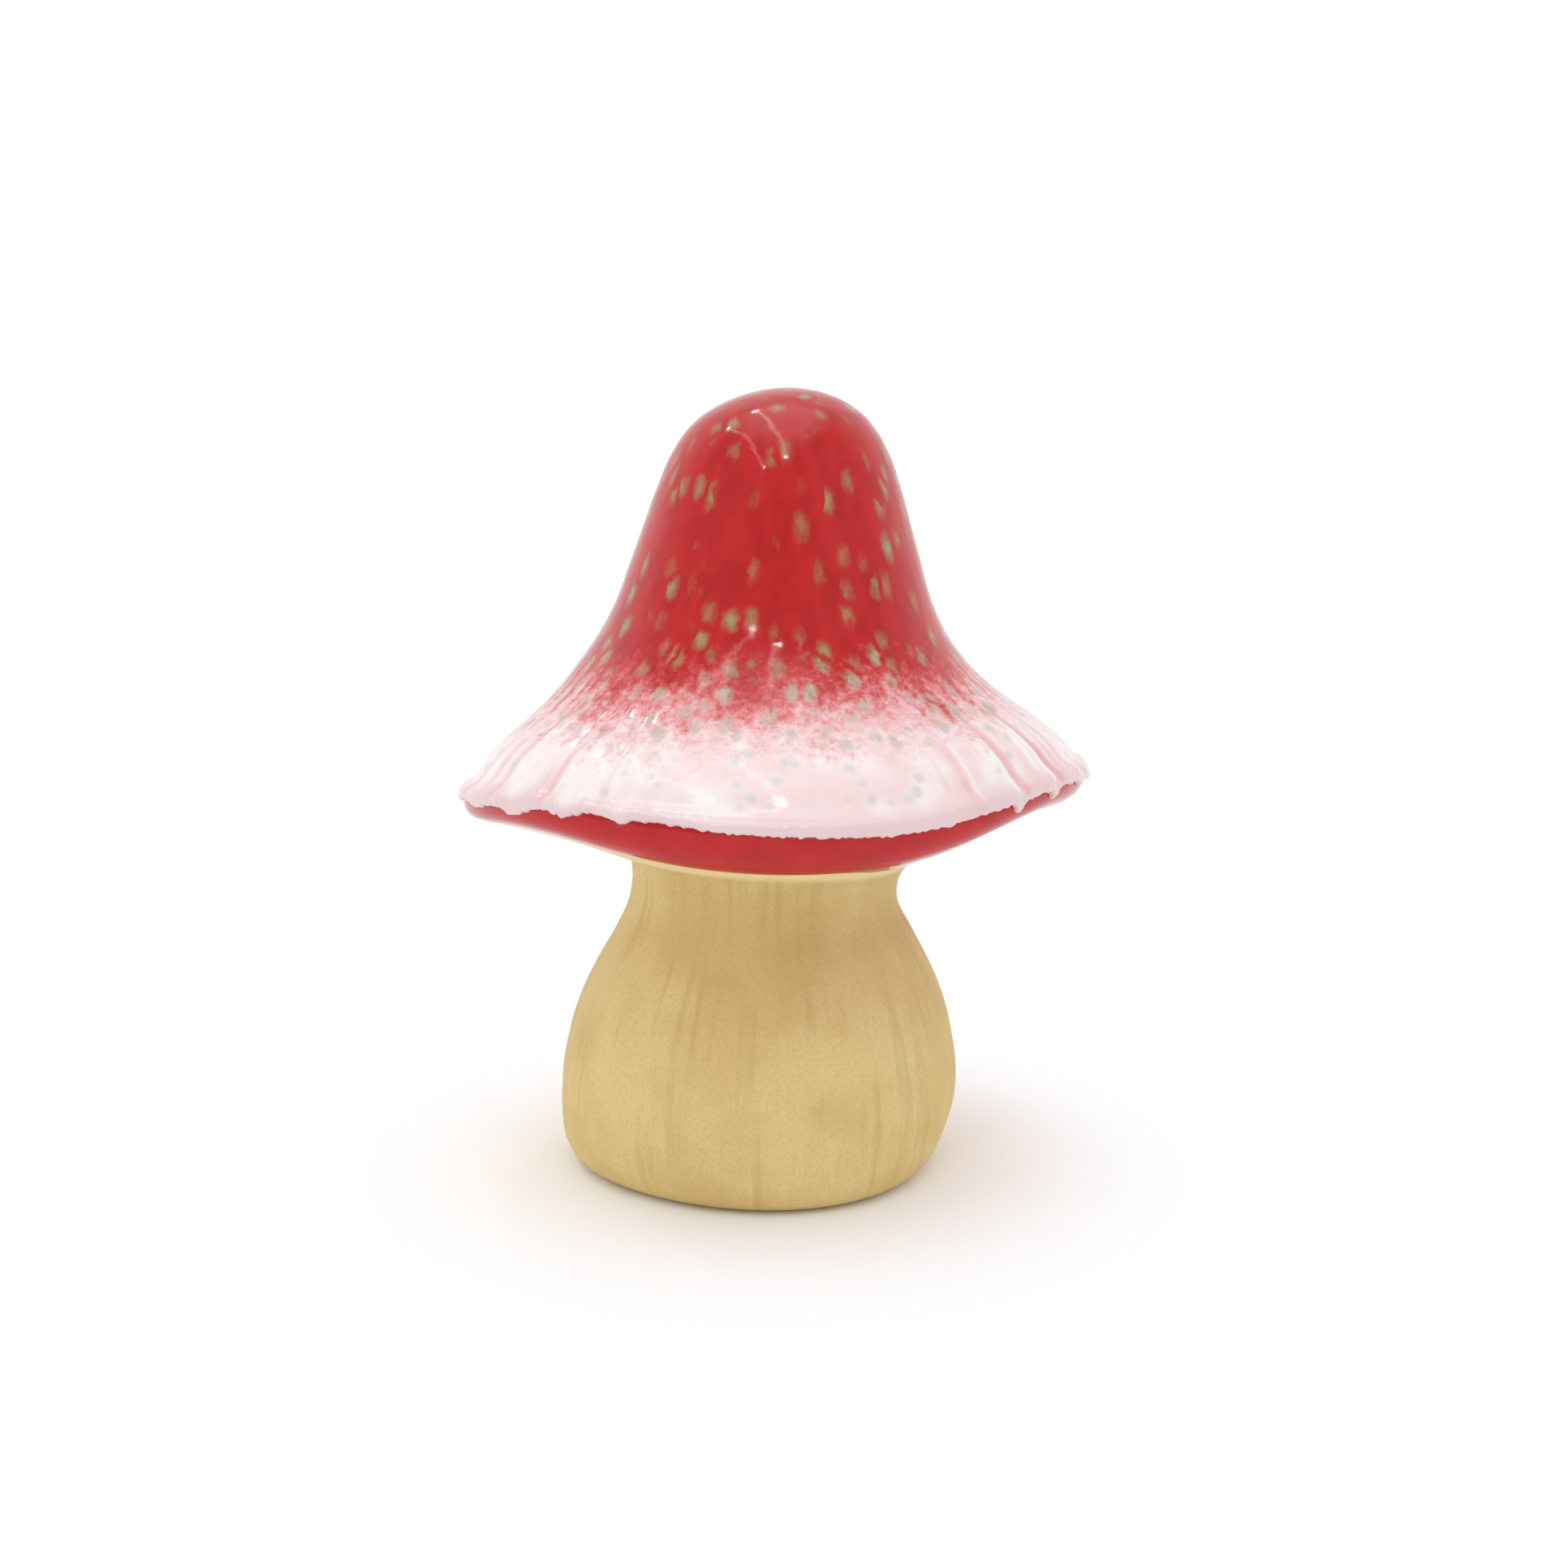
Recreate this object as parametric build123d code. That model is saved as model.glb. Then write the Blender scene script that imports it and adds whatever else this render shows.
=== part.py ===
from build123d import *
import os
from math import asin, atan2, cos, degrees, hypot, radians, sin

# Ceramic mushroom ornament: a hollow cast stem, a hollow cast bell cap luted onto the stem's spigot, and the
# glazes fired on the cap. Nothing on it moves.
# Millimetres and degrees. The origin is the middle of the foot, +Z is up and the front faces -Y.
# Directions round the ornament are measured from +X towards +Y, so the front is at -90.

# Stem: radii and heights of its outline, and how far each curve keeps its end's direction
FOOT_R = 25.5
FOOT_PULL = 4.2
FOOT_RISE = 1.0
BELLY_R = 31.1
BELLY_Z = 13.5
BELLY_PULL_DOWN = 9.0
BELLY_PULL_UP = 16.0
NECK_R = 20.7
NECK_Z = 43.5
NECK_PULL = 7.0
STEM_WALL = 4.8
STEM_FLOOR = 5.0
NECK_SHELF = 4.0
POUR_HOLE_R = 11.0
POUR_HOLE_EASE = 1.0

# Joint: the cap sits a little to the right of the foot, on an axis that leans to the right
SEAT_X = 1.4
SEAT_Z = 48.2
SEAT_LEAN = 4.2
SPIGOT_R = 15.5
SPIGOT_WALL = 4.0
SPIGOT_RISE = 8.5
LUTING = 0.6
# Slip squeezed out at the neck and wiped to a hollow fillet: its reach down the neck, its radius, the angle
# at which it leaves the neck, and how far it turns
WIPE_DROP = 2.0
WIPE_R = 7.3
WIPE_SLANT = 18.0
WIPE_TURN = 45.0

# Cap body: radii, heights and slopes of its outline in the clay, from the brim's rounded edge up
BRIM_X = 2.2
BRIM_R = 47.4
BRIM_Z = 59.6
BRIM_EDGE_R = 2.8
FLARE_SLOPE = 45.0
FLARE_PULL = 9.0
WAIST_R = 27.9
WAIST_Z = 80.1
WAIST_SLOPE = 55.0
WAIST_PULL_DOWN = 8.0
WAIST_PULL_UP = 10.0
SHOULDER_R = 15.9
SHOULDER_Z = 109.7
SHOULDER_SLOPE = 62.0
SHOULDER_PULL_DOWN = 10.0
SHOULDER_PULL_UP = 5.5
APEX_Z = 119.3
APEX_PULL = 7.5
# The brim is higher on the right, and the crown leans to the right
BRIM_RISE = 2.0
APEX_SHIFT = 2.1
# Inside of the cap: its wall, its floor over the seat, and the clay left solid in the brim
CAP_WALL = 4.6
CAP_FLOOR = 6.0
RIM_SOLID = 10.0
RIM_INSIDE_RISE = 2.8
RIM_INSIDE_R = 3.0

# Glazes: a coat that has run down the bell to a thick roll at the brim, over a band under the brim
GLAZE = 0.7
BRIM_ROLL = 1.4
DRIP_RISE = 0.9
BAND_STOP_RISE = 3.1
BAND_STOP_LEAN = 6.8

# Pleats pinched into the flare: direction of each valley; the front is left smooth
PLEATS = (
    -49, -33, -21, -10, 3, 16, 30, 46, 61, 76, 90,
    105, 121, 136, 150, 164, 178, 190, 200, 210, 221, 231,
)
PLEAT_RUN = 15.0
PLEAT_R = 1.9
PLEAT_DEPTH = 0.7
PLEAT_OVERRUN = 4.0


def largest(shape):
    """The largest solid of a cut or split shape."""
    return max(shape.solids(), key=lambda solid: solid.volume)


def spun(*outline):
    """A round solid from a closed outline of radius and height."""
    return revolve(Plane.XZ * make_face(outline), Axis.Z).solid()


def inward(slope):
    """Direction of an outline that rises inwards at a slope."""
    return Vector(-cos(radians(slope)), sin(radians(slope)))


def outward(slope):
    """Direction square to such an outline, out of the clay."""
    return Vector(sin(radians(slope)), cos(radians(slope)))


def leaning_plane(x, z, lean):
    """A plane across the ornament whose upright leans to the right."""
    tilt = radians(lean)
    return Plane(origin=(x, 0, z), x_dir=(cos(tilt), 0, -sin(tilt)), z_dir=(sin(tilt), 0, cos(tilt)))


# Stem
def stem_curves(wall, floor_z, neck_z):
    """The stem's outline, a wall's thickness inside its face, from a floor to the neck."""
    belly = (BELLY_R - wall, BELLY_Z)
    neck = (NECK_R - wall, neck_z)
    lower = Bezier(
        (FOOT_R - wall, floor_z), (FOOT_R + FOOT_PULL - wall, floor_z + FOOT_RISE),
        (BELLY_R - wall, BELLY_Z - BELLY_PULL_DOWN + floor_z), belly,
    )
    upper = Bezier(
        belly, (BELLY_R - wall, BELLY_Z + BELLY_PULL_UP),
        (NECK_R - wall, neck_z - NECK_PULL), neck,
    )
    return [lower, upper]


seat = leaning_plane(SEAT_X, SEAT_Z, SEAT_LEAN)
shoulder = seat.offset(-LUTING)
neck_top_z = SEAT_Z + NECK_R
hollow_top_z = SEAT_Z - LUTING - NECK_SHELF
stem_lean = Matrix([[1, 0, SEAT_X / SEAT_Z, 0], [0, 1, 0, 0], [0, 0, 1, 0]])

stem_blank = spun(
    *stem_curves(0, 0, NECK_Z),
    Polyline(
        (NECK_R, NECK_Z), (NECK_R, neck_top_z), (0, neck_top_z),
        (0, -STEM_FLOOR), (FOOT_R, -STEM_FLOOR), (FOOT_R, 0),
    ),
)
stem_hollow = spun(
    *stem_curves(STEM_WALL, STEM_FLOOR, hollow_top_z),
    Polyline(
        (NECK_R - STEM_WALL, hollow_top_z), (0, hollow_top_z),
        (0, STEM_FLOOR), (FOOT_R - STEM_WALL, STEM_FLOOR),
    ),
)
stem_shell = largest(stem_blank - stem_hollow).transform_geometry(stem_lean)
stem_shell = stem_shell.split(Plane.XY, keep=Keep.TOP).split(shoulder, keep=Keep.BOTTOM)
spigot = shoulder * extrude(Circle(SPIGOT_R), LUTING + SPIGOT_RISE)
spigot_bore = seat.offset(-2 * NECK_SHELF - LUTING) * extrude(
    Circle(SPIGOT_R - SPIGOT_WALL), 2 * NECK_SHELF + LUTING + 2 * SPIGOT_RISE
)
pour_hole = extrude(Circle(POUR_HOLE_R), 2 * STEM_FLOOR)
pour_ease = Solid.make_cone(POUR_HOLE_R + POUR_HOLE_EASE, POUR_HOLE_R, POUR_HOLE_EASE)
stem_body = largest(stem_shell + spigot - spigot_bore - pour_hole - pour_ease)

# Outline of the cap's clay: a straight underside, a rounded edge tangent to it, and the bell
edge_centre = Vector(BRIM_R - BRIM_EDGE_R, BRIM_Z)
edge_reach = hypot(edge_centre.X - NECK_R, edge_centre.Y - SEAT_Z)
under_slope = atan2(edge_centre.Y - SEAT_Z, edge_centre.X - NECK_R) - asin(BRIM_EDGE_R / edge_reach)
waist = Vector(WAIST_R, WAIST_Z)
high_shoulder = Vector(SHOULDER_R, SHOULDER_Z)
apex = Vector(0, APEX_Z)
up = Vector(0, 1)
out = Vector(1, 0)


def edge_point(angle, coat):
    """A point of the brim's rounded edge, under a coat."""
    return edge_centre + Vector(cos(radians(angle)), sin(radians(angle))) * (BRIM_EDGE_R + coat)


def edge_arc(start_angle, coat):
    """The brim's rounded edge from a direction up to the flare, under a coat."""
    return CenterArc(edge_centre, BRIM_EDGE_R + coat, start_angle, 90 - FLARE_SLOPE - start_angle)


def flare_curve(edge_coat, coat):
    """The bell from the rounded edge to the waist, under a coat that may be thicker at the edge."""
    foot = edge_point(90 - FLARE_SLOPE, edge_coat)
    top = waist + outward(WAIST_SLOPE) * coat
    return Bezier(
        foot, foot + inward(FLARE_SLOPE) * FLARE_PULL, top - inward(WAIST_SLOPE) * WAIST_PULL_DOWN, top
    )


def crown_curves(coat):
    """The bell from the waist over the shoulder to the apex, under a coat."""
    foot = waist + outward(WAIST_SLOPE) * coat
    middle = high_shoulder + outward(SHOULDER_SLOPE) * coat
    top = apex + up * coat
    side = Bezier(
        foot, foot + inward(WAIST_SLOPE) * WAIST_PULL_UP,
        middle - inward(SHOULDER_SLOPE) * SHOULDER_PULL_DOWN, middle,
    )
    dome = Bezier(middle, middle + inward(SHOULDER_SLOPE) * SHOULDER_PULL_UP, top + out * APEX_PULL, top)
    return [side, dome]


# The finished bell is skewed: its crown leans and its brim tilts, each by its own amount
crown_lean = APEX_SHIFT / (APEX_Z - BRIM_Z)
brim_tilt = BRIM_RISE / BRIM_R
cap_skew = Matrix([[1, 0, crown_lean, BRIM_X - crown_lean * BRIM_Z], [0, 1, 0, 0], [brim_tilt, 0, 1, 0]])


def cap_form(coat):
    """The whole cap under a coat of even thickness: the skewed bell and the underside down to the seat."""
    edge = edge_arc(degrees(under_slope) - 90, coat)
    top = apex + up * coat
    bell = spun(
        edge, flare_curve(coat, coat), *crown_curves(coat), Polyline(top, (0, (edge @ 0).Y), edge @ 0)
    ).transform_geometry(cap_skew)
    rim = min(bell.faces(), key=lambda face: face.bounding_box().size.Z).outer_wire()
    seat_circle = Wire([Edge.make_circle(NECK_R, seat.offset(-coat / cos(under_slope)))])
    return bell + Solid.make_loft([seat_circle, rim], ruled=True)


# Cap body
cap_blank = cap_form(0)
floor_edge = Vector(NECK_R, SEAT_Z + CAP_FLOOR)
rim_inside = Vector(BRIM_R - RIM_SOLID, BRIM_Z + RIM_INSIDE_RISE)
waist_inside = waist - outward(WAIST_SLOPE) * CAP_WALL
ceiling = apex - up * CAP_WALL
cavity = spun(
    Bezier(floor_edge, (floor_edge + rim_inside) * 0.5, rim_inside - up * RIM_INSIDE_R, rim_inside),
    Bezier(
        rim_inside, rim_inside + up * RIM_INSIDE_R,
        waist_inside - inward(WAIST_SLOPE) * WAIST_PULL_DOWN, waist_inside,
    ),
    *crown_curves(-CAP_WALL),
    Polyline(ceiling, (0, floor_edge.Y), floor_edge),
).transform_geometry(cap_skew)
socket = shoulder * extrude(Circle(SPIGOT_R + LUTING), LUTING + 2 * CAP_FLOOR)
cap_body = largest(cap_blank - cavity - socket)

# Joining slip: a bed under the cap, a sleeve round the spigot and a fillet wiped round the neck
sleeve = shoulder * extrude(Circle(SPIGOT_R + LUTING), LUTING + CAP_FLOOR)
bed = shoulder * extrude(Circle(NECK_R), LUTING)
wipe_out = Vector(cos(radians(WIPE_SLANT)), -sin(radians(WIPE_SLANT)))
wipe_centre = Vector(NECK_R, -WIPE_DROP) + wipe_out * WIPE_R
wipe_arc = CenterArc(wipe_centre, WIPE_R, 180 - WIPE_SLANT / 2, -WIPE_TURN)
wipe_foot = wipe_arc @ 0
wipe_top = wipe_arc @ 1
fillet_ring = seat * spun(
    wipe_arc, Polyline(wipe_foot, (SPIGOT_R, wipe_foot.Y), (SPIGOT_R, wipe_top.Y), wipe_top)
)
luting_ring = largest(sleeve + bed + fillet_ring - spigot - stem_body - cap_body)

# Red coat on the crown
crown_glaze = spun(
    *crown_curves(0), *crown_curves(GLAZE),
    Line(waist, waist + outward(WAIST_SLOPE) * GLAZE), Line(apex, apex + up * GLAZE),
).transform_geometry(cap_skew)

# White coat on the flare: it thickens downwards, ends in a rounded roll and is pinched by the pleats
drip_angle = degrees(asin(DRIP_RISE / BRIM_EDGE_R))
drip_down = Vector(sin(radians(drip_angle)), -cos(radians(drip_angle)))
drip_bottom = edge_point(drip_angle, BRIM_ROLL / 2) + drip_down * (BRIM_ROLL / 2)
run_curve = flare_curve(BRIM_ROLL, GLAZE)
brim_coat = spun(
    edge_arc(drip_angle, 0), flare_curve(0, 0), edge_arc(drip_angle, BRIM_ROLL), run_curve,
    Line(waist, waist + outward(WAIST_SLOPE) * GLAZE),
    ThreePointArc(edge_point(drip_angle, 0), drip_bottom, edge_point(drip_angle, BRIM_ROLL)),
).transform_geometry(cap_skew)
pleat_foot = edge_point(drip_angle, BRIM_ROLL + PLEAT_R - PLEAT_DEPTH)
pleat_run = (run_curve @ (PLEAT_RUN / run_curve.length)) - pleat_foot
pleat_start = pleat_foot - pleat_run.normalized() * PLEAT_OVERRUN
pleat_length = pleat_run.length + PLEAT_OVERRUN
pleat = Solid.make_cone(
    PLEAT_R * pleat_length / pleat_run.length, 0, pleat_length,
    Plane(origin=(pleat_start.X, 0, pleat_start.Y), z_dir=(pleat_run.X, 0, pleat_run.Y)),
)
pleats = []
for direction in PLEATS:
    lift = BRIM_RISE * cos(radians(direction))
    pleats.append(pleat.rotate(Axis.Z, direction).translate((BRIM_X, 0, lift)))
brim_glaze = largest(brim_coat - pleats)

# Red band under the brim: it fills up to the white roll and stops on a slanting line short of the neck
drip_plane = Plane(origin=(BRIM_X, 0, BRIM_Z + DRIP_RISE), z_dir=(-brim_tilt, 0, 1))
band_stop = leaning_plane(BRIM_X, SEAT_Z + BAND_STOP_RISE, BAND_STOP_LEAN)
under_coat = largest(cap_form(GLAZE) - cap_blank)
band = under_coat.split(drip_plane, keep=Keep.BOTTOM).split(band_stop, keep=Keep.TOP)
underside_glaze = largest(band - brim_glaze)

nodes = {
    "stem_body": stem_body,
    "cap_body": cap_body,
    "luting_ring": luting_ring,
    "crown_glaze": crown_glaze,
    "brim_glaze": brim_glaze,
    "underside_glaze": underside_glaze,
}
os.makedirs("parts", exist_ok=True)
for name, solid in nodes.items():
    solid.label = name
    export_step(solid, f"parts/{name}.step")
    print(name, round(solid.volume), "mm3, valid", solid.is_valid)
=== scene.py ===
from functools import lru_cache
from math import atan2, cos, degrees, exp, hypot, pi, radians, sin

import bpy
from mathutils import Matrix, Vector, noise


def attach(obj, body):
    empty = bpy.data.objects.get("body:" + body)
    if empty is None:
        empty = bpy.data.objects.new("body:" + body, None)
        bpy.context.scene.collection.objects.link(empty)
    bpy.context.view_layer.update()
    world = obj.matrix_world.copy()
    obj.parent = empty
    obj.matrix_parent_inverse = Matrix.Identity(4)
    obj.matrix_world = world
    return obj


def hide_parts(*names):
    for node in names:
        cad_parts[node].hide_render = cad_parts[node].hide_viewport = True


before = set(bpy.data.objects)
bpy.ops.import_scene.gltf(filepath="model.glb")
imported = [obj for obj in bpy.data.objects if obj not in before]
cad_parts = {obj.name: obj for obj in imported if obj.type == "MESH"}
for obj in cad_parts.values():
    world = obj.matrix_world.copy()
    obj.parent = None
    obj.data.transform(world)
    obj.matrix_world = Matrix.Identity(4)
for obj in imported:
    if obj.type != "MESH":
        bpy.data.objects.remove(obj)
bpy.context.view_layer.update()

# Stem
# A hollow figure of buff stoneware, cast in a mould, scraped smooth by hand and fired without glaze.
# It stands on its flat foot, which has the pour hole, and its spigot goes up into the cap.
MM = 0.001
WELD = 0.000001
SPIN_AXIS = (0, 0, 1)
SHARP_EDGE = radians(50)
NECK_R = 20.7
FOOT_R = 25.5
POUR_R = 11.0
POUR_EASE = 1.0
STEM_FLOOR = 5.0
SHOULDER_Z = 47.6
SPIGOT_R = 15.5
SPIGOT_TOP = 56.7
BORE_R = 11.5
SHELF_Z = 43.6
STEM_FACE = [
    (NECK_R, SHOULDER_Z), (NECK_R, 44.0), (21.2, 41.0), (23.1, 37.0), (26.0, 31.7), (28.4, 26.4),
    (30.1, 20.5), (31.1, 13.5), (30.6, 7.0), (29.4, 3.0), (27.8, 1.0), (FOOT_R, 0.0),
]
STEM_INSIDE = [
    (20.7, STEM_FLOOR), (24.6, 7.6), (26.2, 13.5), (24.9, 22.0), (20.6, 32.5), (16.4, 40.0),
    (15.9, SHELF_Z),
]
STEM_STEPS = 320
STEM_LEAN = 0.029
SEAT_TILT = 0.073
SEAT_Z = 48.2
TILT_START = 36.0
LOBES = 3
LOBE = 0.03
LOBE_TURN = radians(62)
LOBE_TOP = 13.5
FLAT_DEPTH = 0.22
FLATS_ROUND = 5.0
FLATS_UP = 0.03
FLATS_START = 6.0
STREAK_R = 27.0


def spin_outline(name, runs, steps):
    """A closed round piece. Each smooth run of its half outline is drawn as a curve, and all are spun.
    A run is its points, in radius and height, and the number of steps that the curve takes between two."""
    bpy.ops.object.select_all(action="DESELECT")
    bpy.ops.curve.primitive_bezier_curve_add()
    outline = bpy.context.object
    outline.name = name
    outline.data.splines.clear()
    for points, fineness in runs:
        spline = outline.data.splines.new("BEZIER")
        spline.resolution_u = fineness
        spline.bezier_points.add(len(points) - 1)
        for knot, (radius, height) in zip(spline.bezier_points, points):
            knot.co = (radius * MM, 0, height * MM)
            knot.handle_left_type = "AUTO"
            knot.handle_right_type = "AUTO"
    bpy.ops.object.convert(target="MESH")
    bpy.ops.object.mode_set(mode="EDIT")
    bpy.ops.mesh.select_all(action="SELECT")
    bpy.ops.mesh.remove_doubles(threshold=WELD)
    bpy.ops.mesh.spin(steps=steps, angle=2 * pi, center=(0, 0, 0), axis=SPIN_AXIS)
    bpy.ops.mesh.select_all(action="SELECT")
    bpy.ops.mesh.remove_doubles(threshold=WELD)
    bpy.ops.mesh.normals_make_consistent(inside=False)
    bpy.ops.object.mode_set(mode="OBJECT")
    bpy.ops.object.shade_smooth_by_angle(angle=SHARP_EDGE)
    piece = bpy.context.object
    piece.data.name = name
    return piece


def ease(low, high, value):
    """0 at low, 1 at high, and smooth between them."""
    share = min(max((value - low) / (high - low), 0), 1)
    return share * share * (3 - 2 * share)


def keep_round(piece, radius):
    """Keeps each point's place on a plain cylinder, in millimetres, so that streaks can run up and down."""
    layer = piece.data.attributes.new("round", "FLOAT_VECTOR", "POINT")
    for entry, vertex in zip(layer.data, piece.data.vertices):
        flat = Vector((vertex.co.x, vertex.co.y)).normalized() * radius
        entry.vector = (flat.x, flat.y, vertex.co.z / MM)


def on_the_lean(x, y, z):
    """A point of the upright stem or neck where it really is: the stem leans, and the seat on it slants."""
    z -= SEAT_TILT * x * ease(TILT_START, SHOULDER_Z, z)
    x += STEM_LEAN * z + (SEAT_TILT - STEM_LEAN) * max(z - SEAT_Z, 0)
    return Vector((x, y, z)) * MM


stem = spin_outline("stem_clay", [
    (STEM_FACE, 7),
    ([(FOOT_R, 0), (POUR_R + POUR_EASE, 0)], 4),
    ([(POUR_R + POUR_EASE, 0), (POUR_R, POUR_EASE)], 2),
    ([(POUR_R, POUR_EASE), (POUR_R, STEM_FLOOR)], 1),
    ([(POUR_R, STEM_FLOOR), STEM_INSIDE[0]], 2),
    (STEM_INSIDE, 3),
    ([STEM_INSIDE[-1], (BORE_R, SHELF_Z)], 1),
    ([(BORE_R, SHELF_Z), (BORE_R, SPIGOT_TOP)], 3),
    ([(BORE_R, SPIGOT_TOP), (SPIGOT_R, SPIGOT_TOP)], 1),
    ([(SPIGOT_R, SPIGOT_TOP), (SPIGOT_R, SHOULDER_Z)], 3),
    ([(SPIGOT_R, SHOULDER_Z), (NECK_R, SHOULDER_Z)], 1),
], STEM_STEPS)
keep_round(stem, STREAK_R)
for vertex in stem.data.vertices:
    x, y, z = vertex.co / MM
    angle = atan2(y, x)
    lobe = LOBE * cos(LOBES * (angle + LOBE_TURN)) * (1 - ease(0, LOBE_TOP, z))
    flats = noise.noise((FLATS_ROUND * cos(angle), FLATS_ROUND * sin(angle), FLATS_UP * z))
    swell = 1 + lobe + FLAT_DEPTH / FOOT_R * flats * ease(0, FLATS_START, z)
    x *= swell
    y *= swell
    vertex.co = on_the_lean(x, y, z)


def new_finish(name):
    """A material, its node tree and its shader."""
    finish = bpy.data.materials.new(name)
    finish.use_nodes = True
    return finish, finish.node_tree, finish.node_tree.nodes["Principled BSDF"]


def feed(tree, socket, value):
    """Sets a socket to a value, or links another socket to it."""
    if isinstance(value, bpy.types.NodeSocket):
        tree.links.new(value, socket)
    else:
        socket.default_value = value


def sums(tree, operation, first, *others):
    """The result of a sum on two numbers, or on several, taken in turn."""
    total = first
    for other in others:
        made = tree.nodes.new("ShaderNodeMath")
        made.operation = operation
        feed(tree, made.inputs[0], total)
        feed(tree, made.inputs[1], other)
        total = made.outputs[0]
    return total


def fade(tree, value, low, high, start=0.0, end=1.0):
    """A number that goes smoothly from start to end as value goes from low to high."""
    made = tree.nodes.new("ShaderNodeMapRange")
    made.interpolation_type = "SMOOTHSTEP"
    for socket, number in zip(made.inputs, (value, low, high, start, end)):
        feed(tree, socket, number)
    return made.outputs[0]


def blend_colours(tree, share, first, second):
    """A colour that goes from first to second with the share."""
    made = tree.nodes.new("ShaderNodeMix")
    made.data_type = "RGBA"
    feed(tree, made.inputs["Factor"], share)
    feed(tree, made.inputs[6], first if isinstance(first, bpy.types.NodeSocket) else (*first, 1))
    feed(tree, made.inputs[7], second if isinstance(second, bpy.types.NodeSocket) else (*second, 1))
    return made.outputs[2]


def read_mark(tree, name):
    """A number or a place that was kept on the piece's points."""
    made = tree.nodes.new("ShaderNodeAttribute")
    made.attribute_name = name
    return made.outputs


def place(tree, stretch=(1, 1, 1), shift=(0, 0, 0), kept=None):
    """Places on the piece in millimetres, drawn out along an axis where stretch is under 1."""
    turned = tree.nodes.new("ShaderNodeMapping")
    scale = Vector(stretch)
    if kept:
        feed(tree, turned.inputs["Vector"], read_mark(tree, kept)["Vector"])
    else:
        feed(tree, turned.inputs["Vector"], tree.nodes.new("ShaderNodeTexCoord").outputs["Object"])
        scale /= MM
    feed(tree, turned.inputs["Scale"], scale)
    feed(tree, turned.inputs["Location"], Vector(shift))
    return turned.outputs[0]


def cloud(tree, where, size, detail=2.0, roughness=0.5, colour=False):
    """A soft random number from 0 to 1, or a colour, with patches of that size in millimetres."""
    made = tree.nodes.new("ShaderNodeTexNoise")
    feed(tree, made.inputs["Vector"], where)
    feed(tree, made.inputs["Scale"], 1 / size)
    feed(tree, made.inputs["Detail"], detail)
    feed(tree, made.inputs["Roughness"], roughness)
    return made.outputs["Color" if colour else "Fac"]


def spots(tree, where, size):
    """Distance from the nearest of a scatter of points, in cells of that size, and each point's lots,
    which are random numbers from 0 to 1."""
    made = tree.nodes.new("ShaderNodeTexVoronoi")
    feed(tree, made.inputs["Vector"], where)
    feed(tree, made.inputs["Scale"], 1 / size)
    lots = tree.nodes.new("ShaderNodeSeparateColor")
    feed(tree, lots.inputs[0], made.outputs["Color"])
    return made.outputs["Distance"], lots.outputs


def roughen(tree, shader, height, depth):
    """Raises the surface by a height from 0 to 1, times a depth in millimetres."""
    made = tree.nodes.new("ShaderNodeBump")
    feed(tree, made.inputs["Height"], height)
    feed(tree, made.inputs["Distance"], depth * MM)
    feed(tree, shader.inputs["Normal"], made.outputs[0])


CLAY = (0.685, 0.50, 0.195)
CLAY_PALE = (0.745, 0.57, 0.25)
CLAY_STREAK = (0.44, 0.30, 0.11)
CLAY_PIT = (0.24, 0.15, 0.07)
CLAY_IOR = 1.45
CLAY_ROUGHNESS = (0.6, 0.75)
CLAY_ROUGH_RANGE = (0.2, 0.8)
CLAY_RELIEF = 0.05
PATCH_SIZE = 12.0
PATCH_RANGE = (0.35, 0.65)
GRAIN_SIZE = 0.5
GRAIN_DETAIL = 4.0
GRAIN_SHARPNESS = 0.7
GRAIN_RANGE = (0.35, 0.75)
GRAIN_SHARE = 0.3
STREAK_SIZE = 2.0
STREAK_STRETCH = (1, 1, 0.06)
STREAK_DETAIL = 3.0
STREAK_RANGE = (0.5, 0.72)
STREAK_SHARE = 0.34
STREAK_DEPTH = 0.5
STREAKED_SIZE = 15.0
STREAKED_SHIFT = (3, 7, 2)
STREAKED_RANGE = (0.38, 0.62)
PIT_SPACING = 6.5
PIT_RANGE = (0.015, 0.045)
PIT_LOTS = 0.35


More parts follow.
